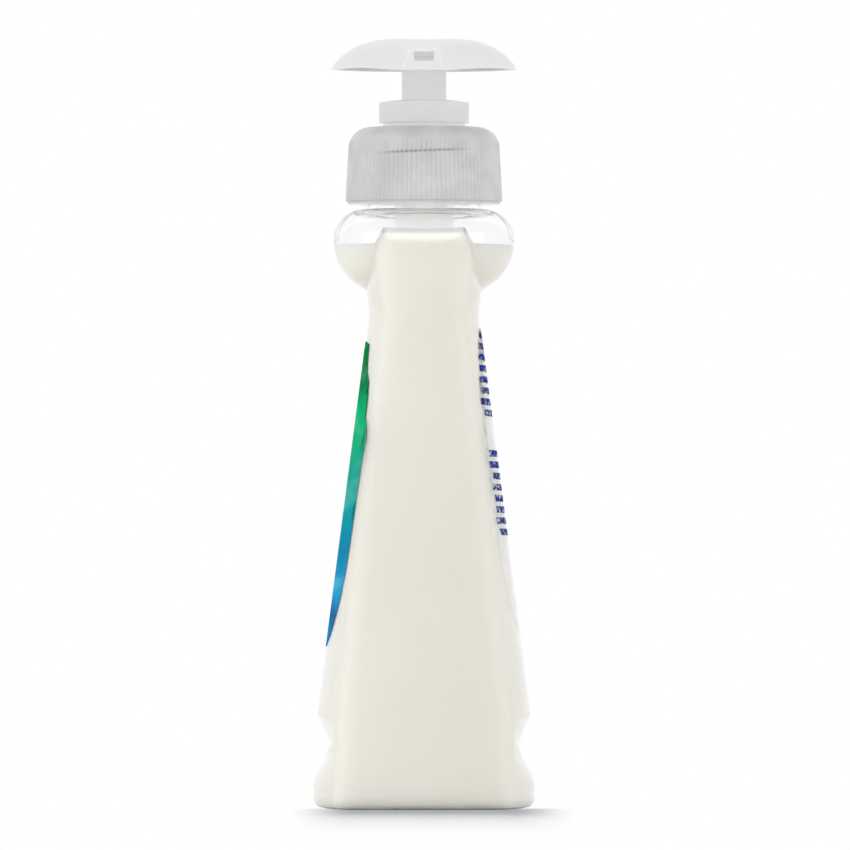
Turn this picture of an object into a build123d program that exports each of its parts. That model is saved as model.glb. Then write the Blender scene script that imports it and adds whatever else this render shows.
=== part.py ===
from build123d import *
import os
from math import asin, cos, pi, radians, sin, sqrt, tan

# Hand soap bottle with a lock-down pump, in millimetres.
# Z is up and the origin is on the table under the middle of the base.
# X runs across the wide front, the front faces -Y, the back +Y, and the spout points along +X.

# Bottle body: heights, half widths across X and half depths across Y
foot_crest_height = 4.6
foot_half_width = 33.4
foot_half_depth = 25.4
foot_round = 2.6
groove_height = 13.3
groove_half_depth = 22.0
groove_half_opening = 8.2
bead_height = 21.8
bead_half_depth = 24.2
waist_height = 112.5
waist_half_width = 26.5
waist_half_depth = 12.4
shoulder_height = 133.2
shoulder_half_width = 15.0
shoulder_half_depth = 10.5
crown_radius = 110.0
side_crown = 1.5
body_corner_radius = 4.0
bottle_wall = 0.8

# Hollows under the base, one on each side of the parting line
base_hollow_depth = 2.3
base_hollow_width = 12.6
base_hollow_length = 40.0
base_web_width = 4.4

# Round bulb under the neck
bulb_height = 129.3
bulb_radius = 20.6
bulb_upper_round = 7.1
bulb_lower_round = 12.3
bulb_flare_round = 4.5
bulb_top_height = 136.3

# Neck finish with its thread
neck_outer_radius = 12.6
neck_bore_radius = 10.9
neck_top_height = 151.6
neck_ring_radius = 12.9
neck_ring_height = 0.9
thread_pitch = 4.23
thread_turns = 1.5
thread_depth = 1.1
thread_root_width = 2.4
thread_crest_width = 1.0
neck_thread_drop = 2.5
neck_thread_end_angle = 40.0

# Closure: ribbed outer wall and threaded inner skirt
cap_bottom_height = 137.55
cap_top_height = 155.1
cap_top_thickness = 1.2
cap_foot_radius = 17.9
cap_shoulder_radius = 17.25
cap_shoulder_round = 5.0
cap_rim_radius = 17.4
cap_rim_height = 0.65
cap_wall = 1.6
cap_skirt_wall = 1.2
cap_groove_depth = 12.0
cap_rib_count = 100
cap_rib_depth = 0.25
cap_hole_clearance = 0.4
thread_clearance = 0.3

# Pump housing
gasket_thickness = 1.0
flange_thickness = 1.2
flange_radius = 12.4
housing_neck_bore = 7.55
housing_neck_wall = 0.75
housing_neck_top = 159.6
chamber_bore_radius = 5.7
chamber_wall = 1.1
chamber_floor_height = 108.0
ball_radius = 2.0
ball_well_depth = 3.6
ball_well_clearance = 0.25
ball_lip_height = 0.5
seat_bore_radius = 1.5
socket_top_height = 102.4
socket_length = 8.0
socket_wall = 1.2

# Dip tube
tube_outer_radius = 2.4
tube_bore_radius = 1.7
tube_end_height = 6.0
tube_end_slope = 35.0

# Lock collar
collar_step_radius = 9.4
collar_step_height = 0.9
collar_radius = 10.3
collar_edge_height = 160.7
collar_top_height = 161.2
collar_opening_radius = 6.65
collar_cup_wall = 0.85
collar_web_thickness = 1.1

# Plunger, in its locked position
piston_length = 7.0
piston_lip = 1.6
piston_wall = 0.8
stem_outer_radius = 3.3
stem_bore_radius = 2.2
stem_top_height = 166.2
stem_hole_radius = 0.8
plug_flange_radius = 4.9
plug_flange_thickness = 1.2
plug_length = 5.0
plug_bore_radius = 1.3
spring_wire_radius = 0.4
spring_mean_radius = 4.4
spring_turns = 5.5
spring_locked_length = 8.0

# Pump head
head_underside_height = 168.3
head_height = 6.8
head_half_span = 21.2
head_half_length = 15.0
head_wall = 1.3
hub_radius = 5.1
hub_bottom_height = 154.8
spout_reach = 30.0
spout_half_width = 4.8
spout_height = 4.5
spout_opening_width = 4.6
spout_opening_height = 2.1
spout_opening_floor = 2.0

# Labels and contents
label_thickness = 0.12
label_gap = 0.03
label_bottom_height = 36.7
label_top_height = 106.2
label_half_width = 24.3
back_label_rise = 3.0
soap_level = 128.0
soap_gap = 0.1
soap_channel_gap = 0.4
running_clearance = 0.05
seat_clearance = 0.02


def taper_half_depth(height):
    """Half depth of the plain front taper, without the groove."""
    if height >= waist_height:
        share = (height - waist_height) / (shoulder_height - waist_height)
        swell = 1.7 * sin(pi * share)
        return waist_half_depth + (shoulder_half_depth - waist_half_depth) * share + swell
    if height <= bead_height:
        share = max(height - foot_crest_height, 0) / (bead_height - foot_crest_height)
        return foot_half_depth + (bead_half_depth - foot_half_depth) * share
    share = (height - bead_height) / (waist_height - bead_height)
    return bead_half_depth + (waist_half_depth - bead_half_depth) * share


def body_half_width(height):
    """Half width of the body: a long taper, then the round shoulder."""
    if height >= waist_height:
        share = (height - waist_height) / (shoulder_height - waist_height)
        drop = waist_half_width - shoulder_half_width
        return waist_half_width - drop * (1 - sqrt(1 - share**2.4 * 0.995)) / 0.93
    share = max(height - foot_crest_height, 0) / (waist_height - foot_crest_height)
    sag = 1.2 * sin(pi * share)
    return foot_half_width + (waist_half_width - foot_half_width) * share - sag


def face_half_depth(height):
    """Half depth in the middle of the front, where the groove is deepest."""
    depth = taper_half_depth(height)
    offset = abs(height - groove_height) / groove_half_opening
    if offset >= 1:
        return depth
    cut = taper_half_depth(groove_height) - groove_half_depth
    return depth - cut * (0.5 + 0.5 * cos(pi * offset))


def body_section(height, inset):
    """Crowned, round-cornered section of the body at one height."""
    half_width = body_half_width(height)
    corner_depth = taper_half_depth(height) - half_width**2 / (2 * crown_radius) - inset
    middle_depth = face_half_depth(height) - inset
    corner_width = half_width - side_crown - inset
    half_width = half_width - inset
    with BuildSketch(Plane.XY.offset(height)) as section:
        with BuildLine():
            ThreePointArc((-corner_width, -corner_depth), (0, -middle_depth), (corner_width, -corner_depth))
            ThreePointArc((corner_width, -corner_depth), (half_width, 0), (corner_width, corner_depth))
            ThreePointArc((corner_width, corner_depth), (0, middle_depth), (-corner_width, corner_depth))
            ThreePointArc((-corner_width, corner_depth), (-half_width, 0), (-corner_width, -corner_depth))
        make_face()
        fillet(section.vertices(), body_corner_radius - inset)
    return section.sketch


def wide_body(inset):
    """Tapered body with the foot, the groove and the shoulders, as one smooth loft."""
    sections = []
    edge_round = foot_round - inset
    for turn in (0, 25, 50, 75):
        height = inset + edge_round * (1 - cos(radians(turn)))
        sections.append(body_section(height, inset + edge_round * (1 - sin(radians(turn)))))
    heights = [foot_crest_height]
    heights += [groove_height + groove_half_opening * share for share in (-0.8, -0.5, -0.25, 0, 0.25, 0.5, 0.8)]
    taper_steps = 12
    taper_run = waist_height - bead_height
    heights += [bead_height + taper_run * (index + 0.2) / taper_steps for index in range(taper_steps)]
    rise = shoulder_height - waist_height
    heights += [waist_height + rise * share for share in (0.06, 0.28, 0.5, 0.72, 0.88, 1)]
    sections += [body_section(height, inset) for height in heights]
    return loft(sections)


def base_hollow(side, grow):
    """Barrel that presses one hollow into the base; side is -1 for the front and 1 for the back."""
    half = base_hollow_width / 2
    middle_radius = (half**2 + base_hollow_depth**2) / (2 * base_hollow_depth)
    end_radius = middle_radius - base_hollow_depth
    with BuildSketch(Plane.XZ) as section:
        with BuildLine():
            ThreePointArc(
                (-base_hollow_length / 2 - grow, end_radius),
                (0, middle_radius + grow),
                (base_hollow_length / 2 + grow, end_radius),
            )
            Line((base_hollow_length / 2 + grow, end_radius), (base_hollow_length / 2 + grow, 0))
            Line((base_hollow_length / 2 + grow, 0), (-base_hollow_length / 2 - grow, 0))
            Line((-base_hollow_length / 2 - grow, 0), (-base_hollow_length / 2 - grow, end_radius))
        make_face()
    barrel = revolve(section.sketch, Axis.X)
    return Pos(0, side * (half + base_web_width / 2), -end_radius) * barrel


def bulb(inset):
    """Round bulb under the neck with its flare into the waist."""
    upper_centre = bulb_radius - bulb_upper_round
    lower_centre = bulb_radius - bulb_lower_round
    upper = bulb_upper_round - inset
    lower = bulb_lower_round - inset
    flare = bulb_flare_round + inset
    flare_radius = waist_half_depth - 0.6
    flare_centre = flare_radius + bulb_flare_round
    reach = bulb_lower_round + bulb_flare_round
    fall = sqrt(reach**2 - (flare_centre - lower_centre) ** 2)
    aim = asin(fall / reach)
    join = (lower_centre + lower * cos(aim), bulb_height - lower * sin(aim))
    flare_foot = (flare_centre - flare, bulb_height - fall)
    lower_mid = (lower_centre + lower * cos(aim / 2), bulb_height - lower * sin(aim / 2))
    flare_mid = (
        flare_centre - flare * cos(aim / 2),
        bulb_height - fall + flare * sin(aim / 2),
    )
    top = bulb_top_height - inset
    lean = asin((top - bulb_height) / upper)
    upper_end = (upper_centre + upper * cos(lean), top)
    upper_mid = (upper_centre + upper * cos(lean / 2), bulb_height + upper * sin(lean / 2))
    with BuildSketch(Plane.XZ) as section:
        with BuildLine():
            Line((0, top), upper_end)
            ThreePointArc(upper_end, upper_mid, (bulb_radius - inset, bulb_height))
            ThreePointArc((bulb_radius - inset, bulb_height), lower_mid, join)
            ThreePointArc(join, flare_mid, flare_foot)
            Line(flare_foot, (0, bulb_height - fall))
            Line((0, bulb_height - fall), (0, top))
        make_face()
    return revolve(section.sketch, Axis.Z)


def bottle_form(inset):
    """Closed outer form of the bottle below the neck, or its inner form when inset by the wall."""
    form = wide_body(inset) + bulb(inset)
    for side in (-1, 1):
        form -= base_hollow(side, inset)
    return form


def ring(outer_radius, inner_radius, bottom, top):
    """Plain ring about the Z axis."""
    outer = Cylinder(outer_radius, top - bottom, align=(Align.CENTER, Align.CENTER, Align.MIN))
    inner = Cylinder(inner_radius, top - bottom, align=(Align.CENTER, Align.CENTER, Align.MIN))
    return Pos(0, 0, bottom) * (outer - inner)


def rod(radius, bottom, top):
    """Plain round rod about the Z axis."""
    return Pos(0, 0, bottom) * Cylinder(radius, top - bottom, align=(Align.CENTER, Align.CENTER, Align.MIN))


def thread_ridge(root_radius, outward, bottom, start_angle, turns):
    """Helical ridge of the thread; outward is 1 on the neck and -1 in the cap."""
    bury = 0.2
    path = Helix(pitch=thread_pitch, height=thread_pitch * turns, radius=root_radius)
    start = Plane(origin=path @ 0, x_dir=(1, 0, 0), z_dir=path % 0)
    root = thread_root_width / 2
    crest = thread_crest_width / 2
    outline = Polyline(
        (-outward * bury, -root),
        (outward * thread_depth, -crest),
        (outward * thread_depth, crest),
        (-outward * bury, root),
        close=True,
    )
    profile = start * make_face(outline)
    ridge = sweep(profile, path=path, is_frenet=True)
    return Pos(0, 0, bottom) * Rot(0, 0, start_angle) * ridge


neck_thread_top = neck_top_height - neck_thread_drop
neck_thread_bottom = neck_thread_top - thread_pitch * thread_turns
neck_thread_start = neck_thread_end_angle - 360 * thread_turns


def make_bottle():
    """Blown shell with its threaded neck."""
    shell = bottle_form(0)
    shell += rod(neck_outer_radius, bulb_top_height - 1, neck_top_height)
    shell += rod(neck_ring_radius, bulb_top_height - 1, bulb_top_height + neck_ring_height)
    shell += thread_ridge(neck_outer_radius, 1, neck_thread_bottom, neck_thread_start, thread_turns)
    shell -= bottle_form(bottle_wall)
    shell -= rod(neck_bore_radius, bulb_height, neck_top_height + 1)
    return shell


cap_bore_radius = neck_outer_radius + thread_depth + thread_clearance
cap_inner_top = cap_top_height - cap_top_thickness
flange_bottom = neck_top_height + gasket_thickness
flange_top = flange_bottom + flange_thickness
housing_neck_radius = housing_neck_bore + housing_neck_wall


def ribbed_wall():
    """Tapered wall of fine upright ribs, run out under the round shoulder."""
    rib_bottom = cap_bottom_height + cap_rim_height

    def star(height, crest_radius):
        step = 2 * pi / cap_rib_count
        corners = []
        for index in range(cap_rib_count):
            angle = index * step
            valley = crest_radius - cap_rib_depth
            corners.append((crest_radius * cos(angle), crest_radius * sin(angle)))
            corners.append((valley * cos(angle + step / 2), valley * sin(angle + step / 2)))
        return Pos(0, 0, height) * make_face(Polyline(*corners, close=True))

    lean = (cap_foot_radius - cap_shoulder_radius) / (cap_top_height - cap_shoulder_round - rib_bottom)
    top_radius = cap_foot_radius - lean * (cap_top_height - rib_bottom)
    return loft([star(rib_bottom, cap_foot_radius), star(cap_top_height, top_radius)], ruled=True)


def cap_dome():
    """Round shoulder and flat top of the closure, wide enough below to leave the ribs whole."""
    arc_edge = cap_shoulder_radius + 0.05
    arc_centre = arc_edge - cap_shoulder_round
    arc_height = cap_top_height - cap_shoulder_round
    flare = cap_foot_radius + 0.5
    with BuildSketch(Plane.XZ) as section:
        with BuildLine():
            Line((0, cap_top_height), (arc_centre, cap_top_height))
            ThreePointArc(
                (arc_centre, cap_top_height),
                (arc_centre + cap_shoulder_round * cos(pi / 4), arc_height + cap_shoulder_round * sin(pi / 4)),
                (arc_edge, arc_height),
            )
            Line((arc_edge, arc_height), (flare, cap_bottom_height))
            Line((flare, cap_bottom_height), (0, cap_bottom_height))
            Line((0, cap_bottom_height), (0, cap_top_height))
        make_face()
    return revolve(section.sketch, Axis.Z)


def make_screw_cap():
    """Double-walled closure that screws on the neck and turns freely under the collar."""
    cap = ribbed_wall() & cap_dome()
    cap += rod(cap_rim_radius, cap_bottom_height, cap_bottom_height + cap_rim_height + 0.1)
    cap -= rod(cap_bore_radius, cap_bottom_height - 1, cap_inner_top)
    groove_outer = cap_rim_radius - cap_wall
    groove_inner = cap_bore_radius + cap_skirt_wall
    cap -= ring(groove_outer, groove_inner, cap_bottom_height - 1, cap_bottom_height + cap_groove_depth)
    cap -= rod(housing_neck_radius + cap_hole_clearance, cap_inner_top - 1, cap_top_height + 1)
    cap_thread_bottom = neck_thread_bottom + thread_pitch * 0.5
    cap += thread_ridge(cap_bore_radius, -1, cap_thread_bottom, neck_thread_start, thread_turns - 0.5)
    return cap


def make_neck_gasket():
    """Soft washer between the neck and the flange."""
    return ring(flange_radius, neck_bore_radius - 1.2, neck_top_height, flange_bottom)


chamber_radius = chamber_bore_radius + chamber_wall
shelf_height = flange_bottom + flange_thickness / 2
ball_well_radius = ball_radius + ball_well_clearance
seat_height = chamber_floor_height - ball_well_depth
socket_radius = tube_outer_radius + socket_wall
socket_bottom = socket_top_height - socket_length


def make_pump_housing():
    """Flanged cylinder with the ball seat and the socket for the dip tube at its foot."""
    foot_cone = chamber_radius - socket_radius
    with BuildSketch(Plane.XZ) as section:
        with BuildLine():
            Polyline(
                (0, socket_bottom),
                (socket_radius, socket_bottom),
                (socket_radius, seat_height - foot_cone),
                (chamber_radius, seat_height),
                (chamber_radius, flange_bottom),
                (flange_radius, flange_bottom),
                (flange_radius, flange_top),
                (housing_neck_radius, flange_top),
                (housing_neck_radius, housing_neck_top),
                (0, housing_neck_top),
                (0, socket_bottom),
            )
        make_face()
    housing = revolve(section.sketch, Axis.Z)
    housing -= rod(housing_neck_bore, shelf_height, housing_neck_top + 1)
    housing -= rod(chamber_bore_radius, chamber_floor_height, housing_neck_top)
    lip_bottom = chamber_floor_height - ball_lip_height
    seat_cone = ball_well_radius - seat_bore_radius
    housing -= rod(ball_well_radius, seat_height + seat_cone, lip_bottom)
    housing -= Pos(0, 0, seat_height + seat_cone / 2) * Cone(seat_bore_radius, ball_well_radius, seat_cone)
    housing -= rod(ball_radius - 0.15, lip_bottom - 0.1, chamber_floor_height + 0.1)
    housing -= rod(seat_bore_radius, socket_bottom, seat_height + 0.1)
    housing -= rod(tube_outer_radius, socket_bottom - 1, socket_top_height)
    for index in range(3):
        slot = Pos(ball_radius, 0, lip_bottom) * Box(1.8, 0.9, 2 * ball_lip_height + 0.4)
        housing -= Rot(0, 0, 120 * index) * slot
    return housing


def make_inlet_ball():
    """Check ball on the cone of its seat, where the cone's 45 degree wall touches it."""
    contact_drop = (ball_radius + seat_clearance) * sqrt(2)
    apex_height = seat_height - seat_bore_radius
    return Pos(0, 0, apex_height + contact_drop) * Sphere(ball_radius)


def make_dip_tube():
    """Straight tube with a slanted lower end."""
    tube = ring(tube_outer_radius, tube_bore_radius, tube_end_height, socket_top_height)
    rise = 2 * tube_outer_radius * tan(radians(tube_end_slope))
    wedge = Pos(0, 0, tube_end_height) * Rot(0, -tube_end_slope, 0) * Box(40, 20, 2 * rise)
    lower = Pos(0, 0, tube_end_height) * Box(12, 12, 6 * rise)
    cutter = lower & (Pos(0, 0, -rise * cos(radians(tube_end_slope)) + rise / 2) * wedge)
    return tube - cutter


def make_lock_collar():
    """Collar over the housing's neck, with the inner cup that guides the stem."""
    cup_radius = collar_opening_radius + collar_cup_wall
    skirt_bottom = cap_top_height + running_clearance
    step_top = skirt_bottom + collar_step_height
    with BuildSketch(Plane.XZ) as section:
        with BuildLine():
            Polyline(
                (stem_outer_radius + running_clearance, shelf_height),
                (cup_radius, shelf_height),
                (cup_radius, housing_neck_top + seat_clearance),
                (housing_neck_radius + seat_clearance, housing_neck_top + seat_clearance),
                (housing_neck_radius + seat_clearance, skirt_bottom),
                (collar_step_radius, skirt_bottom),
                (collar_step_radius, step_top),
                (collar_radius, step_top),
                (collar_radius, collar_edge_height),
                (collar_opening_radius, collar_top_height),
                (collar_opening_radius, shelf_height + collar_web_thickness),
                (stem_outer_radius + running_clearance, shelf_height + collar_web_thickness),
                (stem_outer_radius + running_clearance, shelf_height),
            )
        make_face()
    return revolve(section.sketch, Axis.Z)


spring_top = chamber_floor_height + spring_locked_length
plug_flange_top = spring_top + plug_flange_thickness


def make_piston():
    """Cup seal: a sleeve on the stem with a lip above and below."""
    lip_radius = chamber_bore_radius - seat_clearance
    bore = stem_outer_radius + seat_clearance
    bottom = plug_flange_top
    top = bottom + piston_length
    sleeve = bore + piston_wall
    lip_root = lip_radius - piston_wall
    with BuildSketch(Plane.XZ) as section:
        with BuildLine():
            Polyline(
                (bore, bottom),
                (sleeve, bottom),
                (sleeve, bottom + piston_lip),
                (lip_root, bottom),
                (lip_radius, bottom),
                (lip_radius, bottom + 0.8),
                (sleeve + piston_wall, bottom + 2 * piston_lip),
                (sleeve + piston_wall, top - 2 * piston_lip),
                (lip_radius, top - 0.8),
                (lip_radius, top),
                (lip_root, top),
                (sleeve, top - piston_lip),
                (sleeve, top),
                (bore, top),
                (bore, bottom),
            )
        make_face()
    return revolve(section.sketch, Axis.Z)


def make_piston_stem():
    """Hollow stem with two holes that the piston covers while the plunger rests."""
    stem = ring(stem_outer_radius, stem_bore_radius, plug_flange_top, stem_top_height)
    hole_height = plug_flange_top + piston_length / 2
    hole = Rot(0, 90, 0) * Cylinder(stem_hole_radius, 4 * stem_outer_radius)
    return stem - Pos(0, 0, hole_height) * hole


def make_stem_plug():
    """Plug in the stem's lower end, with the flange on the spring."""
    flange = ring(plug_flange_radius, plug_bore_radius, spring_top, plug_flange_top)
    shank = ring(stem_bore_radius, plug_bore_radius, spring_top, plug_flange_top + plug_length)
    hole_height = plug_flange_top + piston_length / 2
    window = Rot(0, 90, 0) * Cylinder(stem_hole_radius, 4 * stem_bore_radius)
    return flange + shank - Pos(0, 0, hole_height) * window


def make_pump_spring():
    """Return spring, pressed short while the plunger is locked down."""
    bottom = chamber_floor_height + spring_wire_radius
    height = spring_locked_length - 2 * spring_wire_radius
    path = Helix(pitch=height / spring_turns, height=height, radius=spring_mean_radius)
    start = Plane(origin=path @ 0, x_dir=(1, 0, 0), z_dir=path % 0)
    return Pos(0, 0, bottom) * sweep(start * Circle(spring_wire_radius), path=path, is_frenet=True)


def head_outline(share):
    """Place, half width and height of the head at one share of its length: -1 at the back, 1 at the spout."""
    if share < 0:
        roundness = sqrt(1 - 0.97 * share**2)
        return head_half_length * share, head_half_span * roundness, head_height * roundness**0.9
    taper = cos(pi * share / 2) ** 2.6
    half_width = spout_half_width + (head_half_span - spout_half_width) * taper
    height = spout_height + (head_height - spout_height) * (1 - share**1.5)
    return spout_reach * share, half_width, height


def head_form(shares, inset):
    """Crowned wing that narrows into the spout, lofted through upright sections along X."""
    sections = []
    for share in shares:
        reach, half_width, height = head_outline(share)
        half_width -= 1.3 * inset
        height -= inset
        plane = Plane(origin=(reach, 0, head_underside_height), x_dir=(0, 1, 0), z_dir=(1, 0, 0))
        lean = max(share, 0)
        haunch = (0.85 - 0.04 * lean, 0.54 + 0.1 * lean)
        brow = (0.61 + 0.06 * lean, 0.9 + 0.02 * lean)
        crown = Spline(
            (-half_width, 0),
            (-haunch[0] * half_width, haunch[1] * height),
            (-brow[0] * half_width, brow[1] * height),
            (0, height),
            (brow[0] * half_width, brow[1] * height),
            (haunch[0] * half_width, haunch[1] * height),
            (half_width, 0),
        )
        sections.append(plane * make_face(Wire([crown, Line((half_width, 0), (-half_width, 0))])))
    return loft(sections)


def make_pump_head():
    """Wing-shaped head with its spout and hub, moulded in one piece and hollow below the wing."""
    outer = head_form((-1, -0.94, -0.8, -0.5, 0, 0.2, 0.4, 0.6, 0.8, 1), 0)
    hollow = head_form((-0.9, -0.8, -0.5, 0, 0.2, 0.4), head_wall)
    duct_width = spout_opening_width + 2 * head_wall
    boss = Box(spout_reach / 2, duct_width, 2 * head_height, align=(Align.MIN, Align.CENTER, Align.CENTER))
    boss = outer & (Pos(0, 0, head_underside_height) * boss)
    hub_top = head_underside_height + head_height - head_wall / 2
    head = outer - hollow + boss + rod(hub_radius, hub_bottom_height, hub_top)
    duct_height = head_underside_height + spout_opening_floor + spout_opening_height / 2
    duct = Box(spout_reach + 1, spout_opening_width, spout_opening_height, align=(Align.MIN, Align.CENTER, Align.CENTER))
    head -= Pos(0, 0, duct_height) * duct
    head -= rod(stem_outer_radius, hub_bottom_height - 1, stem_top_height)
    head -= rod(stem_bore_radius, stem_top_height - 1, duct_height)
    return head


def label_film(side, rise):
    """Thin film on the crowned face, cut to an egg-shaped outline; side is -1 for the front."""
    low = label_bottom_height + rise
    high = label_top_height + rise
    span = high - low
    with BuildSketch(Plane.XZ) as outline:
        with BuildLine():
            edge = Spline(
                (0, low),
                (0.8 * label_half_width, low + 0.16 * span),
                (label_half_width, low + 0.67 * span),
                (0, high),
                tangents=((1, 0), (-1, 0)),
            )
            mirror(edge, about=Plane.YZ)
        make_face()
    prism = extrude(outline.sketch, amount=-side * 2 * foot_half_depth)
    film = wide_body(-label_gap - label_thickness) - wide_body(-label_gap)
    return film & prism


def make_liquid_soap():
    """Soap inside the shell, with the well that the pump stands in."""
    soap = bottle_form(bottle_wall + soap_gap)
    soap -= Pos(0, 0, soap_level) * Box(200, 200, 50, align=(Align.CENTER, Align.CENTER, Align.MIN))
    soap -= rod(tube_outer_radius + soap_channel_gap, tube_end_height - soap_channel_gap, socket_bottom)
    soap -= rod(socket_radius + soap_channel_gap, socket_bottom - soap_channel_gap, soap_level + 1)
    cone_bottom = seat_height - (chamber_radius - socket_radius) - soap_channel_gap
    soap -= rod(chamber_radius + soap_channel_gap, cone_bottom, soap_level + 1)
    return soap


os.makedirs("parts", exist_ok=True)
pieces = {
    "bottle": make_bottle(),
    "liquid_soap": make_liquid_soap(),
    "front_label": label_film(-1, 0),
    "back_label": label_film(1, back_label_rise),
    "screw_cap": make_screw_cap(),
    "lock_collar": make_lock_collar(),
    "pump_head": make_pump_head(),
    "neck_gasket": make_neck_gasket(),
    "pump_housing": make_pump_housing(),
    "pump_spring": make_pump_spring(),
    "inlet_ball": make_inlet_ball(),
    "dip_tube": make_dip_tube(),
    "piston": make_piston(),
    "piston_stem": make_piston_stem(),
    "stem_plug": make_stem_plug(),
}
for name, piece in pieces.items():
    print(name, len(piece.solids()), round(piece.volume, 1))
    export_step(piece, f"parts/{name}.step")
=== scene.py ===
from math import atan2, cos, hypot, pi, radians, sin

import bpy
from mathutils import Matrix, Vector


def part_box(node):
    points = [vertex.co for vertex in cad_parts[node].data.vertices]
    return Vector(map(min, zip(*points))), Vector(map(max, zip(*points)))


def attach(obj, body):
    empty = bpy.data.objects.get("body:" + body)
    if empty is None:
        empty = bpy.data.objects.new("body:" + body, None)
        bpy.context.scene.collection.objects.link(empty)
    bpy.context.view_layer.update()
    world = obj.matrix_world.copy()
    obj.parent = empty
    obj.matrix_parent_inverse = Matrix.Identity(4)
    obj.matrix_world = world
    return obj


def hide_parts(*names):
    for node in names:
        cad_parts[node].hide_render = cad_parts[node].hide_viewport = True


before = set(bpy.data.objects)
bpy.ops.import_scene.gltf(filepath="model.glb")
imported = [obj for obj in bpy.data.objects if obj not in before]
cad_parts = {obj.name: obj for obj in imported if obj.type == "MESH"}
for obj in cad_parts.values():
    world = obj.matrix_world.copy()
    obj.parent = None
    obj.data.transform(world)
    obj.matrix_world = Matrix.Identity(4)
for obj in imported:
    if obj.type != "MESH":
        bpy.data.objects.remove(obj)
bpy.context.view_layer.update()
bpy.ops.object.select_all(action="DESELECT")

# All sizes are in metres. Z is up, the front label faces -Y, and the camera looks at the narrow side from +X.
MM = 0.001

# Meshes: how near two points of a CAD copy are one point, and the angle up to which faces are shaded as one skin
MERGE_DISTANCE = 0.002 * MM
SMOOTH_ANGLE = radians(40)

# Soap: how far it reaches into the wall, so that it wets the plastic, and the rim that climbs the narrow sides
SOAP_WETTING = 0.3 * MM
SOAP_RIM_START = 12 * MM
SOAP_RIM_HALF_DEPTH = 10.2 * MM
SOAP_RIM_CLIMB = 3.4 * MM
SOAP_RIM_GRIP = 0.1 * MM
SOAP_RIM_PULL = (0.97, 0.94, 1)
# Heights over which the top of the soap's rim turns to a painted grey band of shade
SOAP_SHADE_BAND_BOTTOM = 130.1 * MM
SOAP_SHADE_BAND_TOP = 130.9 * MM

# Print on the back label: two blocks of plain lines, from the top of each block down
PRINT_BLOCK_TOPS = (108.3 * MM, 81.3 * MM)
PRINT_LINES = 8
PRINT_PITCH = 2.54 * MM
PRINT_LINE_HEIGHT = 1.45 * MM
PRINT_HALF_WIDTH = 20.4 * MM
PRINT_LINE_SHARES = (0.93, 1.0, 0.88, 0.97, 0.91)
PRINT_RISE = 0.02 * MM

# Labels: half width, and the quarter ellipse that closes each side at the top, cut in short straight steps
LABEL_HALF_WIDTH = 21.8 * MM
LABEL_WIDEST_HEIGHT = 76 * MM
LABEL_TOP_HEIGHT = 107.6 * MM
LABEL_CUTS = 14

# Spout: how far its tip hangs, and how far back the droop reaches into the head
SPOUT_TIP = 29 * MM
SPOUT_DROOP = 1.2 * MM
SPOUT_DROOP_REACH = 24 * MM

# Duct of the spout in the pump head: its half width, its floor, its roof and its inner end, with some slack
DUCT_HALF_WIDTH = 2.3 * MM
DUCT_FLOOR = 170.3 * MM
DUCT_ROOF = 172.4 * MM
DUCT_INNER_END = -6 * MM
DUCT_SLACK = 0.05 * MM

# Thread painted as shade on the cap: pitch, the height where its dark edge crosses the narrow side, the edge's
# half thickness from full to none, the half width from full to none, and the dashes round the cap
THREAD_PITCH = 4.23 * MM
THREAD_EDGE_HEIGHT = 149.3 * MM
THREAD_EDGE_THICKNESS = (0.1 * MM, 0.42 * MM)
THREAD_EDGE_REACH = (6 * MM, 11.5 * MM)
THREAD_DASHES = 100

# Shade on the floor: its middle across the picture, its half width from full to none, and how far in front of the
# bottle's axis it reaches full depth
SHADE_MIDDLE = 2 * MM
SHADE_HALF_WIDTH = (17 * MM, 33 * MM)
SHADE_FULL_AHEAD = 30 * MM


def select_only(piece):
    """Deselects all, then makes one piece selected and active."""
    bpy.ops.object.select_all(action="DESELECT")
    piece.select_set(True)
    bpy.context.view_layer.objects.active = piece


def linear(hex_colour):
    """Linear RGBA from an sRGB hex colour."""
    channels = [int(hex_colour[i : i + 2], 16) / 255 for i in (1, 3, 5)]
    turned = [c / 12.92 if c <= 0.04045 else ((c + 0.055) / 1.055) ** 2.4 for c in channels]
    return (*turned, 1.0)


def add_node(tree, kind, settings=None, inputs=None):
    """Adds one shader node with its settings; an input is a value, or the socket that feeds it."""
    made = tree.nodes.new(kind)
    for key, value in (settings or {}).items():
        setattr(made, key, value)
    for key, value in (inputs or {}).items():
        if isinstance(value, bpy.types.NodeSocket):
            tree.links.new(value, made.inputs[key])
        else:
            made.inputs[key].default_value = value
    return made


def set_stops(ramp, stops):
    """Fills a colour ramp from pairs of position and hex colour."""
    elements = ramp.color_ramp.elements
    elements[0].position = stops[0][0]
    elements[0].color = linear(stops[0][1])
    elements[1].position = stops[-1][0]
    elements[1].color = linear(stops[-1][1])
    for position, colour in stops[1:-1]:
        elements.new(position).color = linear(colour)


def new_material(name, colour, look):
    """Material with a Principled shader set from plain values; returns it with its tree and shader."""
    material = bpy.data.materials.new(name)
    material.use_nodes = True
    shader = material.node_tree.nodes["Principled BSDF"]
    shader.inputs["Base Color"].default_value = linear(colour)
    for key, value in look.items():
        shader.inputs[key].default_value = value
    material.diffuse_color = linear(colour)
    return material, material.node_tree, shader


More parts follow.
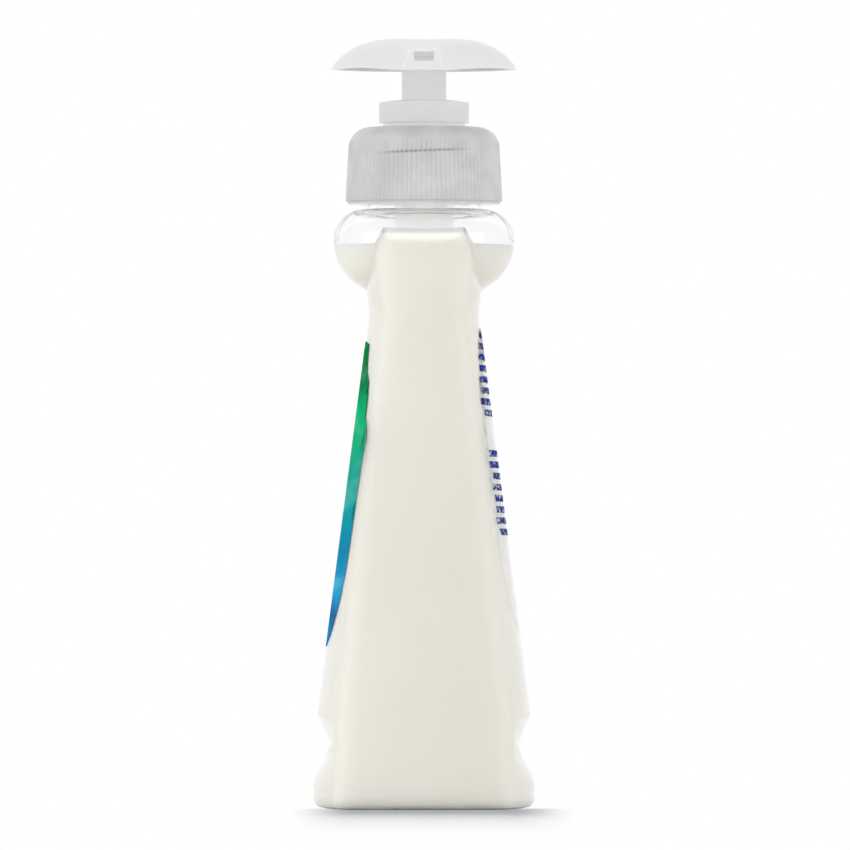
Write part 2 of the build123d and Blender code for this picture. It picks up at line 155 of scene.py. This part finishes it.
def roughen(tree, shader, size, strength, depth):
    """Uneven skin of a moulded or blown surface: bumps of a real size and depth."""
    place = add_node(tree, "ShaderNodeTexCoord")
    skin = add_node(
        tree,
        "ShaderNodeTexNoise",
        inputs={"Vector": place.outputs["Object"], "Scale": 1 / size, "Detail": 2},
    )
    bump = add_node(
        tree,
        "ShaderNodeBump",
        inputs={"Height": skin.outputs["Fac"], "Strength": strength, "Distance": depth},
    )
    tree.links.new(bump.outputs["Normal"], shader.inputs["Normal"])


def clear_polyester():
    """Blown polyester: a thin glossy colourless wall that shows faint waves left by the blowing."""
    look = {"Roughness": 0.03, "IOR": 1.48, "Transmission Weight": 1.0}
    material, tree, shader = new_material("blown_clear_polyester", "#FEFEFE", look)
    roughen(tree, shader, size=16 * MM, strength=0.3, depth=0.1 * MM)
    # Lamp light passes straight through the clear wall, so that it lights what is inside.
    rays = add_node(tree, "ShaderNodeLightPath")
    clear = add_node(tree, "ShaderNodeBsdfTransparent", inputs={"Color": (0.97, 0.97, 0.97, 1)})
    mix = add_node(
        tree,
        "ShaderNodeMixShader",
        inputs={0: rays.outputs["Is Shadow Ray"], 1: shader.outputs["BSDF"], 2: clear.outputs["BSDF"]},
    )
    tree.links.new(mix.outputs["Shader"], tree.nodes["Material Output"].inputs["Surface"])
    return material


def pearly_soap():
    """Pearly liquid soap: warm cream and cloudy, because light scatters far into it."""
    look = {
        "Roughness": 0.4,
        "Subsurface Weight": 1.0,
        "Subsurface Scale": 6 * MM,
        "Subsurface Radius": (1.0, 1.0, 1.0),
        "Specular IOR Level": 0.1,
    }
    material, tree, shader = new_material("pearly_liquid_soap", "#EAE8DD", look)
    place = add_node(tree, "ShaderNodeTexCoord")
    clouds = add_node(
        tree,
        "ShaderNodeTexNoise",
        inputs={"Vector": place.outputs["Object"], "Scale": 1 / (35 * MM), "Detail": 2},
    )
    ramp = add_node(tree, "ShaderNodeValToRGB", inputs={"Fac": clouds.outputs["Fac"]})
    set_stops(ramp, ((0.3, "#ECEAE1"), (0.7, "#EFEDE5")))
    # The rim that clings to the narrow sides above the level turns grey at its top: painted shade, not the soap's
    # own colour.
    axes = add_node(tree, "ShaderNodeSeparateXYZ", inputs={"Vector": place.outputs["Object"]})
    shade_band = add_node(
        tree,
        "ShaderNodeMapRange",
        inputs={"Value": axes.outputs["Z"], "From Min": SOAP_SHADE_BAND_BOTTOM, "From Max": SOAP_SHADE_BAND_TOP},
    )
    mix = add_node(
        tree,
        "ShaderNodeMix",
        {"data_type": "RGBA"},
        {0: shade_band.outputs["Result"], 6: ramp.outputs["Color"], 7: linear("#C2C3C6")},
    )
    tree.links.new(mix.outputs[2], shader.inputs["Base Color"])
    return material


def printed_film():
    """Printed film: greens over teal and blue, with soft slanting light in the print."""
    look = {"Roughness": 0.5, "Specular IOR Level": 0.0}
    material, tree, shader = new_material("printed_front_film", "#2A9A9A", look)
    low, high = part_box("front_label")
    place = add_node(tree, "ShaderNodeTexCoord")
    axes = add_node(tree, "ShaderNodeSeparateXYZ", inputs={"Vector": place.outputs["Object"]})
    level = add_node(
        tree,
        "ShaderNodeMapRange",
        inputs={"Value": axes.outputs["Z"], "From Min": low.z, "From Max": high.z},
    )
    warp = add_node(
        tree,
        "ShaderNodeTexNoise",
        inputs={"Vector": place.outputs["Object"], "Scale": 1 / (22 * MM), "Detail": 2},
    )
    sway = add_node(
        tree,
        "ShaderNodeMath",
        {"operation": "MULTIPLY_ADD"},
        {0: warp.outputs["Fac"], 1: 0.12, 2: level.outputs["Result"]},
    )
    ground = add_node(tree, "ShaderNodeValToRGB", inputs={"Fac": sway.outputs["Value"]})
    stops = (
        (0.09, "#1F7CAE"),
        (0.16, "#255F92"),
        (0.24, "#2893C0"),
        (0.38, "#187CA0"),
        (0.5, "#188F99"),
        (0.62, "#1D9486"),
        (0.72, "#22A174"),
        (0.82, "#0EA56A"),
        (0.9, "#187848"),
        (1.0, "#0C7238"),
    )
    set_stops(ground, stops)
    slant = add_node(
        tree,
        "ShaderNodeMapping",
        inputs={
            "Vector": place.outputs["Object"],
            "Rotation": (0, radians(35), 0),
            "Scale": (1 / (45 * MM), 1 / (45 * MM), 1 / (7 * MM)),
        },
    )
    streaks = add_node(
        tree, "ShaderNodeTexNoise", inputs={"Vector": slant.outputs["Vector"], "Scale": 1.0, "Detail": 2}
    )
    gleam = add_node(
        tree,
        "ShaderNodeMapRange",
        inputs={"Value": streaks.outputs["Fac"], "From Min": 0.54, "From Max": 0.74, "To Max": 0.3},
    )
    mix = add_node(
        tree,
        "ShaderNodeMix",
        {"data_type": "RGBA"},
        {0: gleam.outputs["Result"], 6: ground.outputs["Color"], 7: linear("#7FD6BE")},
    )
    tree.links.new(mix.outputs[2], shader.inputs["Base Color"])
    return material


def clear_film():
    """Clear film of the back label: a thin glossy skin that is nearly unseen on the white soap."""
    look = {"Roughness": 0.15, "Alpha": 0.12}
    material, tree, shader = new_material("clear_label_film", "#FAFCFD", look)
    roughen(tree, shader, size=6 * MM, strength=0.1, depth=0.02 * MM)
    return material


def blue_ink():
    """Royal blue printing ink, broken up along each line as small print looks from a distance."""
    look = {"Roughness": 0.5, "Specular IOR Level": 0.0}
    material, tree, shader = new_material("royal_blue_ink", "#1E3A8C", look)
    place = add_node(tree, "ShaderNodeTexCoord")
    grain = add_node(
        tree,
        "ShaderNodeMapping",
        inputs={"Vector": place.outputs["Object"], "Scale": (1 / (2.4 * MM), 0, 1 / (1.1 * MM))},
    )
    marks = add_node(
        tree, "ShaderNodeTexNoise", inputs={"Vector": grain.outputs["Vector"], "Scale": 1.0, "Detail": 2}
    )
    gaps = add_node(
        tree,
        "ShaderNodeMapRange",
        inputs={"Value": marks.outputs["Fac"], "From Min": 0.49, "From Max": 0.53, "To Min": 1, "To Max": 0},
    )
    tree.links.new(gaps.outputs["Result"], shader.inputs["Alpha"])
    return material


def moulded_polypropylene(name, colour, look):
    """Moulded polypropylene: pale and a little milky, with the mould's fine skin, painted shade in its creases and
    a painted glow.
    """
    material, tree, shader = new_material(name, colour, {"Specular IOR Level": 0.35, **look})
    roughen(tree, shader, size=0.5 * MM, strength=0.12, depth=0.02 * MM)
    # Painted shade: a short ambient occlusion darkens creases and tight corners towards grey.
    crease = add_node(tree, "ShaderNodeAmbientOcclusion", inputs={"Distance": 0.7 * MM})
    shade = add_node(
        tree,
        "ShaderNodeMapRange",
        inputs={"Value": crease.outputs["AO"], "From Min": 0.35, "From Max": 0.8},
    )
    mix = add_node(
        tree,
        "ShaderNodeMix",
        {"data_type": "RGBA"},
        {0: shade.outputs["Result"], 6: linear("#A4A5A6"), 7: linear(colour)},
    )
    tree.links.new(mix.outputs[2], shader.inputs["Base Color"])
    if "Emission Strength" in look:
        return material
    # Painted light: sheltered faces glow by emission, standing in for daylight through the thin milky walls.
    shelter = add_node(tree, "ShaderNodeAmbientOcclusion", inputs={"Distance": 12 * MM})
    painted_glow = add_node(
        tree,
        "ShaderNodeMapRange",
        inputs={"Value": shelter.outputs["AO"], "From Min": 0.1, "From Max": 0.95, "To Min": 0.25, "To Max": 0},
    )
    shader.inputs["Emission Color"].default_value = linear("#F2F2F1")
    tree.links.new(painted_glow.outputs["Result"], shader.inputs["Emission Strength"])
    return material


def milky_cap():
    """Natural polypropylene of the cap, a little see-through: the inner thread's shade is painted as dark dashes.
    """
    look = {"Roughness": 0.35, "Transmission Weight": 0.15, "Emission Color": linear("#F2F2F2")}
    material, tree, shader = new_material("natural_cap_polypropylene", "#D6D6D6", look)
    roughen(tree, shader, size=0.8 * MM, strength=0.2, depth=0.03 * MM)
    place = add_node(tree, "ShaderNodeTexCoord")
    axes = add_node(tree, "ShaderNodeSeparateXYZ", inputs={"Vector": place.outputs["Object"]})
    angle = add_node(
        tree, "ShaderNodeMath", {"operation": "ARCTAN2"}, {0: axes.outputs["Y"], 1: axes.outputs["X"]}
    )
    # Painted shade: the colour darkens along the thread's line, where the inner thread's shade shows through the
    # wall.
    climb = add_node(
        tree,
        "ShaderNodeMath",
        {"operation": "MULTIPLY_ADD"},
        {0: angle.outputs["Value"], 1: THREAD_PITCH / (2 * pi), 2: THREAD_EDGE_HEIGHT},
    )
    away = add_node(
        tree, "ShaderNodeMath", {"operation": "SUBTRACT"}, {0: axes.outputs["Z"], 1: climb.outputs["Value"]}
    )
    away = add_node(tree, "ShaderNodeMath", {"operation": "ABSOLUTE"}, {0: away.outputs["Value"]})
    edge = add_node(
        tree,
        "ShaderNodeMapRange",
        inputs={
            "Value": away.outputs["Value"],
            "From Min": THREAD_EDGE_THICKNESS[0],
            "From Max": THREAD_EDGE_THICKNESS[1],
            "To Min": 1,
            "To Max": 0,
        },
    )
    # The thread ends short of the cap's sides, so the dashes fade there.
    reach = add_node(tree, "ShaderNodeMath", {"operation": "ABSOLUTE"}, {0: axes.outputs["Y"]})
    fade = add_node(
        tree,
        "ShaderNodeMapRange",
        inputs={
            "Value": reach.outputs["Value"],
            "From Min": THREAD_EDGE_REACH[0],
            "From Max": THREAD_EDGE_REACH[1],
            "To Min": 1,
            "To Max": 0,
        },
    )
    ribs = add_node(
        tree, "ShaderNodeMath", {"operation": "MULTIPLY"}, {0: angle.outputs["Value"], 1: THREAD_DASHES}
    )
    ribs = add_node(tree, "ShaderNodeMath", {"operation": "SINE"}, {0: ribs.outputs["Value"]})
    dashes = add_node(
        tree,
        "ShaderNodeMapRange",
        inputs={"Value": ribs.outputs["Value"], "From Min": -1, "From Max": 0.6, "To Min": 0.45, "To Max": 1},
    )
    dark = add_node(
        tree,
        "ShaderNodeMath",
        {"operation": "MULTIPLY"},
        {0: edge.outputs["Result"], 1: fade.outputs["Result"]},
    )
    dark = add_node(
        tree,
        "ShaderNodeMath",
        {"operation": "MULTIPLY"},
        {0: dark.outputs["Value"], 1: dashes.outputs["Result"]},
    )
    clouds = add_node(
        tree,
        "ShaderNodeTexNoise",
        inputs={"Vector": place.outputs["Object"], "Scale": 1 / (5 * MM), "Detail": 3},
    )
    milk = add_node(tree, "ShaderNodeValToRGB", inputs={"Fac": clouds.outputs["Fac"]})
    set_stops(milk, ((0.3, "#B0B0B0"), (0.7, "#BFBFBF")))
    # Painted shade: a short ambient occlusion darkens the grooves between the ribs.
    groove = add_node(tree, "ShaderNodeAmbientOcclusion", inputs={"Distance": 0.5 * MM})
    depth = add_node(
        tree,
        "ShaderNodeMapRange",
        inputs={"Value": groove.outputs["AO"], "From Min": 0.55, "From Max": 0.98, "To Min": 0.5, "To Max": 0},
    )
    milk_with_groove_shade = add_node(
        tree,
        "ShaderNodeMix",
        {"data_type": "RGBA"},
        {0: depth.outputs["Result"], 6: milk.outputs["Color"], 7: linear("#8C8C8C")},
    )
    mix = add_node(
        tree,
        "ShaderNodeMix",
        {"data_type": "RGBA"},
        {0: dark.outputs["Value"], 6: milk_with_groove_shade.outputs[2], 7: linear("#808080")},
    )
    tree.links.new(mix.outputs[2], shader.inputs["Base Color"])
    # Painted light: hollows and the underside glow by emission, standing in for daylight through the thin milky
    # skirt.
    hollow = add_node(tree, "ShaderNodeAmbientOcclusion", inputs={"Distance": 8 * MM})
    painted_glow = add_node(
        tree,
        "ShaderNodeMapRange",
        inputs={"Value": hollow.outputs["AO"], "From Min": 0.05, "From Max": 0.55, "To Min": 0.5, "To Max": 0},
    )
    tree.links.new(painted_glow.outputs["Result"], shader.inputs["Emission Strength"])
    return material


def bright_steel():
    """Drawn stainless steel: bright, with a slight haze."""
    look = {"Roughness": 0.22, "Metallic": 1.0}
    material, tree, shader = new_material("drawn_stainless_steel", "#C9C9C7", look)
    roughen(tree, shader, size=0.4 * MM, strength=0.15, depth=0.01 * MM)
    return material


def dress(material, *nodes):
    """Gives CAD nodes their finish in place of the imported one."""
    for node in nodes:
        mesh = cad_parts[node].data
        mesh.materials.clear()
        mesh.materials.append(material)


def merged_copy(node, name):
    """Copy of a CAD node's mesh with its doubles merged, active and in edit mode with all selected."""
    piece = bpy.data.objects.new(name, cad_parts[node].data.copy())
    bpy.context.scene.collection.objects.link(piece)
    select_only(piece)
    bpy.ops.mesh.customdata_custom_splitnormals_clear()
    bpy.ops.object.mode_set(mode="EDIT")
    bpy.ops.mesh.select_all(action="SELECT")
    bpy.ops.mesh.remove_doubles(threshold=MERGE_DISTANCE)
    return piece


def lit_duct():
    """Polypropylene of the spout's duct, with a fixed glow: painted light standing in for daylight through the
    thin walls.
    """
    look = {"Roughness": 0.5, "Emission Color": linear("#E2E2E1"), "Emission Strength": 0.3}
    material, tree, shader = new_material("lit_duct_polypropylene", "#CFCFCE", look)
    roughen(tree, shader, size=0.5 * MM, strength=0.12, depth=0.02 * MM)
    return material


def make_head(material):
    """Pump head from the CAD solid, with its spout's tip hanging a little and its own finish in the duct."""
    piece = merged_copy("pump_head", "pump_head_moulding")
    bpy.ops.mesh.select_all(action="DESELECT")
    bpy.ops.object.mode_set(mode="OBJECT")
    mesh = piece.data
    mesh.materials.clear()
    mesh.materials.append(material)
    mesh.materials.append(lit_duct())
    for face in mesh.polygons:
        place = face.center
        in_width = abs(place.y) < DUCT_HALF_WIDTH + DUCT_SLACK
        in_height = DUCT_FLOOR - DUCT_SLACK < place.z < DUCT_ROOF + DUCT_SLACK
        in_length = DUCT_INNER_END < place.x < SPOUT_TIP
        face.material_index = int(in_width and in_height and in_length)
    for vertex in mesh.vertices:
        vertex.select = vertex.co.x > SPOUT_TIP
    bpy.ops.object.mode_set(mode="EDIT")
    bpy.ops.transform.translate(
        value=(0, 0, -SPOUT_DROOP),
        use_proportional_edit=True,
        proportional_edit_falloff="SMOOTH",
        proportional_size=SPOUT_DROOP_REACH,
    )
    bpy.ops.object.mode_set(mode="OBJECT")
    bpy.ops.object.shade_smooth_by_angle(angle=SMOOTH_ANGLE)
    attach(piece, "head")
    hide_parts("pump_head")


def make_soap():
    """Soap that wets the wall, grown from the CAD solid, with its rim drawn up the narrow sides."""
    piece = merged_copy("liquid_soap", "liquid_soap_fill")
    bpy.ops.transform.shrink_fatten(value=SOAP_WETTING)
    bpy.ops.mesh.select_all(action="DESELECT")
    bpy.ops.object.mode_set(mode="OBJECT")
    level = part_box("liquid_soap")[1].z
    for vertex in piece.data.vertices:
        on_side = abs(vertex.co.x) > SOAP_RIM_START and abs(vertex.co.y) < SOAP_RIM_HALF_DEPTH
        vertex.select = on_side and vertex.co.z > level - SOAP_RIM_GRIP
    bpy.ops.object.mode_set(mode="EDIT")
    bpy.ops.transform.translate(value=(0, 0, SOAP_RIM_CLIMB))
    bpy.ops.transform.resize(value=SOAP_RIM_PULL, center_override=(0, 0, level))
    bpy.ops.object.mode_set(mode="OBJECT")
    bpy.ops.object.shade_smooth_by_angle(angle=SMOOTH_ANGLE)
    piece.data.materials.clear()
    piece.data.materials.append(pearly_soap())
    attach(piece, "bottle_body")
    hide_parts("liquid_soap")


def trimmed_label(node, name):
    """Copy of a label's film, in edit mode, cut off at each side where it would turn the corner."""
    piece = merged_copy(node, name)
    rise = LABEL_TOP_HEIGHT - LABEL_WIDEST_HEIGHT
    for side in (-1, 1):
        for step in range(LABEL_CUTS):
            turn = radians(90) * step / LABEL_CUTS
            place = (side * LABEL_HALF_WIDTH * cos(turn), 0, LABEL_WIDEST_HEIGHT + rise * sin(turn))
            outward = (side * rise * cos(turn), 0, LABEL_HALF_WIDTH * sin(turn))
            bpy.ops.mesh.select_all(action="SELECT")
            bpy.ops.mesh.bisect(plane_co=place, plane_no=outward, clear_outer=True, use_fill=True)
    return piece


def make_label(node, name, material):
    """Label of its own finish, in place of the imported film."""
    piece = trimmed_label(node, name)
    bpy.ops.object.mode_set(mode="OBJECT")
    bpy.ops.object.shade_flat()
    piece.data.materials.clear()
    piece.data.materials.append(material)
    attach(piece, "bottle_body")
    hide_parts(node)


def make_print():
    """Blue print on the back label: plain lines cut from copies of the film, a hair proud of it."""
    ink = blue_ink()
    lines = []
    for block_top in PRINT_BLOCK_TOPS:
        for index in range(PRINT_LINES):
            top = block_top - index * PRINT_PITCH
            reach = PRINT_HALF_WIDTH * PRINT_LINE_SHARES[index % len(PRINT_LINE_SHARES)]
            line = trimmed_label("back_label", f"print_line_{len(lines)}")
            cuts = (
                ((0, 0, top), (0, 0, 1)),
                ((0, 0, top - PRINT_LINE_HEIGHT), (0, 0, -1)),
                ((reach, 0, 0), (1, 0, 0)),
                ((-reach, 0, 0), (-1, 0, 0)),
            )
            for place, outward in cuts:
                bpy.ops.mesh.select_all(action="SELECT")
                bpy.ops.mesh.bisect(plane_co=place, plane_no=outward, clear_outer=True, use_fill=True)
            bpy.ops.mesh.select_all(action="SELECT")
            bpy.ops.transform.shrink_fatten(value=PRINT_RISE)
            bpy.ops.object.mode_set(mode="OBJECT")
            bpy.ops.object.shade_smooth_by_angle(angle=SMOOTH_ANGLE)
            line.data.materials.clear()
            line.data.materials.append(ink)
            lines.append(line)
    bpy.ops.object.select_all(action="DESELECT")
    for line in lines:
        line.select_set(True)
    bpy.context.view_layer.objects.active = lines[0]
    bpy.ops.object.join()
    lines[0].name = "back_label_print"
    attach(lines[0], "bottle_body")


def make_stage():
    """Plain pale floor, white to the camera, that keeps the bottle's soft shadow."""
    bpy.ops.object.select_all(action="DESELECT")
    bpy.ops.mesh.primitive_plane_add(size=24, location=(0, 0, 0))
    floor = bpy.context.object
    floor.name = "pale_floor"
    look = {"Roughness": 0.95, "Specular IOR Level": 0.0}
    material, tree, shader = new_material("matte_white_sweep", "#F4F4F4", look)
    # The camera sees the sweep at its white level, less the shade that the bottle throws round its foot.
    rays = add_node(tree, "ShaderNodeLightPath")
    cover = add_node(tree, "ShaderNodeAmbientOcclusion", {"samples": 32}, {"Distance": 0.3})
    shade = add_node(tree, "ShaderNodeValToRGB", inputs={"Fac": cover.outputs["AO"]})
    set_stops(shade, ((0.8, "#A9AAAE"), (0.94, "#B6B7BB"), (0.965, "#D8D9DB"), (0.988, "#FFFFFF")))
    # The shade stays in front of the bottle and fades to both sides.
    place = add_node(tree, "ShaderNodeTexCoord")
    axes = add_node(tree, "ShaderNodeSeparateXYZ", inputs={"Vector": place.outputs["Object"]})
    aside = add_node(
        tree, "ShaderNodeMath", {"operation": "SUBTRACT"}, {0: axes.outputs["Y"], 1: SHADE_MIDDLE}
    )
    aside = add_node(tree, "ShaderNodeMath", {"operation": "ABSOLUTE"}, {0: aside.outputs["Value"]})
    within = add_node(
        tree,
        "ShaderNodeMapRange",
        {"interpolation_type": "SMOOTHSTEP"},
        {
            "Value": aside.outputs["Value"],
            "From Min": SHADE_HALF_WIDTH[0],
            "From Max": SHADE_HALF_WIDTH[1],
            "To Min": 1,
            "To Max": 0,
        },
    )
    ahead = add_node(
        tree,
        "ShaderNodeMapRange",
        {"interpolation_type": "SMOOTHSTEP"},
        {"Value": axes.outputs["X"], "From Min": 0, "From Max": SHADE_FULL_AHEAD, "To Min": 0, "To Max": 1},
    )
    share = add_node(
        tree,
        "ShaderNodeMath",
        {"operation": "MULTIPLY"},
        {0: within.outputs["Result"], 1: ahead.outputs["Result"]},
    )
    level = add_node(
        tree,
        "ShaderNodeMix",
        {"data_type": "RGBA"},
        {0: share.outputs["Value"], 6: linear("#FFFFFF"), 7: shade.outputs["Color"]},
    )
    seen = add_node(tree, "ShaderNodeEmission", inputs={"Color": level.outputs[2]})
    mix = add_node(
        tree,
        "ShaderNodeMixShader",
        inputs={0: rays.outputs["Is Camera Ray"], 1: shader.outputs["BSDF"], 2: seen.outputs["Emission"]},
    )
    tree.links.new(mix.outputs["Shader"], tree.nodes["Material Output"].inputs["Surface"])
    floor.data.materials.append(material)


def make_world():
    """Even white surround: white to the eye, in gloss and through clear walls, and a plain level of light."""
    world = bpy.data.worlds.new("white_studio")
    bpy.context.scene.world = world
    world.use_nodes = True
    tree = world.node_tree
    light = tree.nodes["Background"]
    light.inputs["Color"].default_value = (1, 1, 1, 1)
    light.inputs["Strength"].default_value = 1.0
    rays = add_node(tree, "ShaderNodeLightPath")
    seen = add_node(
        tree,
        "ShaderNodeMath",
        {"operation": "MAXIMUM"},
        {0: rays.outputs["Is Camera Ray"], 1: rays.outputs["Is Glossy Ray"]},
    )
    seen = add_node(
        tree,
        "ShaderNodeMath",
        {"operation": "MAXIMUM"},
        {0: seen.outputs["Value"], 1: rays.outputs["Is Transmission Ray"]},
    )
    white = add_node(tree, "ShaderNodeBackground", inputs={"Color": (1, 1, 1, 1), "Strength": 1.0})
    mix = add_node(
        tree,
        "ShaderNodeMixShader",
        inputs={0: seen.outputs["Value"], 1: light.outputs["Background"], 2: white.outputs["Background"]},
    )
    tree.links.new(mix.outputs["Shader"], tree.nodes["World Output"].inputs["Surface"])


def make_lamp(name, place, size, power):
    """Square soft box that faces the middle of the bottle."""
    data = bpy.data.lights.new(name, "AREA")
    data.size = size
    data.energy = power
    lamp = bpy.data.objects.new(name, data)
    bpy.context.scene.collection.objects.link(lamp)
    lamp.location = place
    lamp.visible_glossy = False
    rise = 90 * MM - place[2]
    reach = hypot(place[0], place[1])
    lamp.rotation_euler = (pi / 2 + atan2(rise, reach), 0, atan2(-place[1], -place[0]) - pi / 2)


def make_camera():
    """Long lens on the narrow side, looking along -X and a little up."""
    # The bottle fills 768 of the photograph's 850 pixels, and its axis is 1 pixel left of the middle.
    photo_pixels = 850
    bottle_pixels = 768
    bottle_height = 175.1 * MM
    picture_span = photo_pixels / bottle_pixels * bottle_height
    distance = 3.0
    camera_height = 50 * MM
    aim_height = 87.2 * MM
    sideways = 0.23 * MM
    data = bpy.data.cameras.new("photo_camera")
    data.sensor_width = 36
    data.lens = data.sensor_width * distance / picture_span
    camera = bpy.data.objects.new("photo_camera", data)
    bpy.context.scene.collection.objects.link(camera)
    camera.location = (distance, sideways, camera_height)
    camera.rotation_euler = (pi / 2 + atan2(aim_height - camera_height, distance), 0, pi / 2)
    bpy.context.scene.camera = camera


dress(clear_polyester(), "bottle")
make_soap()
make_label("front_label", "front_label_film", printed_film())
make_label("back_label", "back_label_film", clear_film())
make_print()
dress(milky_cap(), "screw_cap")
head_look = {
    "Roughness": 0.3,
    "Subsurface Weight": 0.3,
    "Subsurface Scale": 1 * MM,
    "Subsurface Radius": (1, 1, 1),
}
make_head(moulded_polypropylene("white_head_polypropylene", "#D0D0CF", head_look))
dress(moulded_polypropylene("natural_collar_polypropylene", "#CACAC9", head_look), "lock_collar")
# The housing and the tube are see-through walls, and a glow in them stands in for the soap's light.
pump_look = {
    "Roughness": 0.35,
    "Alpha": 0.35,
    "Emission Color": linear("#FFFFFF"),
    "Emission Strength": 0.12,
}
dress(moulded_polypropylene("natural_pump_polypropylene", "#F2F2F1", pump_look), "pump_housing", "dip_tube")
# The stem and its plug glow at a fixed level: painted light standing in for daylight through the housing.
stem_look = {"Roughness": 0.35, "Emission Color": linear("#EFEFEE"), "Emission Strength": 0.3}
dress(moulded_polypropylene("white_stem_polypropylene", "#EFEFEE", stem_look), "piston_stem", "stem_plug")
seal_look = {"Roughness": 0.5, "Subsurface Weight": 0.5, "Subsurface Scale": 1 * MM}
dress(moulded_polypropylene("soft_seal_polyethylene", "#EDEDEB", seal_look), "neck_gasket", "piston")
dress(bright_steel(), "pump_spring", "inlet_ball")
make_stage()
make_world()
make_lamp("left_soft_box", (0.45, -1.1, 0.25), 0.8, 3.2)
make_lamp("right_soft_box", (0.45, 1.1, 0.2), 0.8, 3.0)
make_lamp("front_soft_box", (1.3, 0.1, 0.2), 0.9, 3.2)
make_lamp("back_soft_box", (-0.75, -0.12, 0.8), 0.4, 2.0)
make_camera()

bpy.context.scene.view_settings.view_transform = "Standard"
